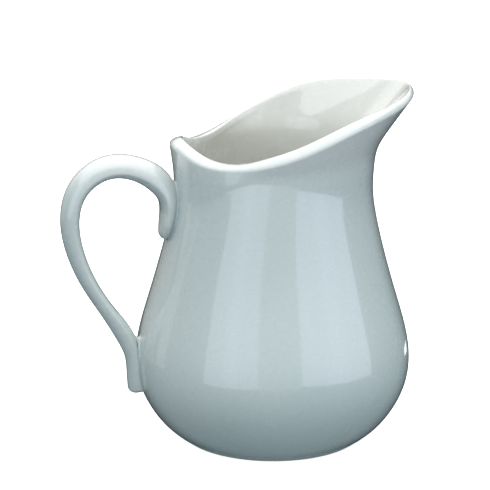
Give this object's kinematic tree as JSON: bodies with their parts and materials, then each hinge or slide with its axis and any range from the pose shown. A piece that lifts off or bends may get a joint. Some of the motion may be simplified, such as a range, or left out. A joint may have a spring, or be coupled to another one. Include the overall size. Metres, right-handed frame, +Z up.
{
  "type": "pitcher",
  "caption": "Glazed ceramic table pitcher with a pear-shaped body, a broad pulled spout, a rolled lip, a looped strap handle and a low foot ring.",
  "frame": {"origin": "on the body's axis, in the plane the foot ring stands on", "axes": "+Z up; +X from the axis toward the spout; the handle is on the -X side; the part is the same on both sides of the XZ plane"},
  "size_m": [0.1772, 0.1382, 0.178],
  "materials": {
    "glaze": "clear glossy glaze over white clay, a faint blue-grey where it lies thick",
    "joint_glaze": "glossy glaze pooled over slip, slightly creamy",
    "foot_clay": "glazed on its outer side, bare matt clay where it stands"
  },
  "bodies": {
    "root": {"vessel": "glaze", "foot_ring": "foot_clay", "handle": "glaze", "upper_joint_slip": "joint_glaze", "lower_joint_slip": "joint_glaze"}
  },
  "joints": []
}
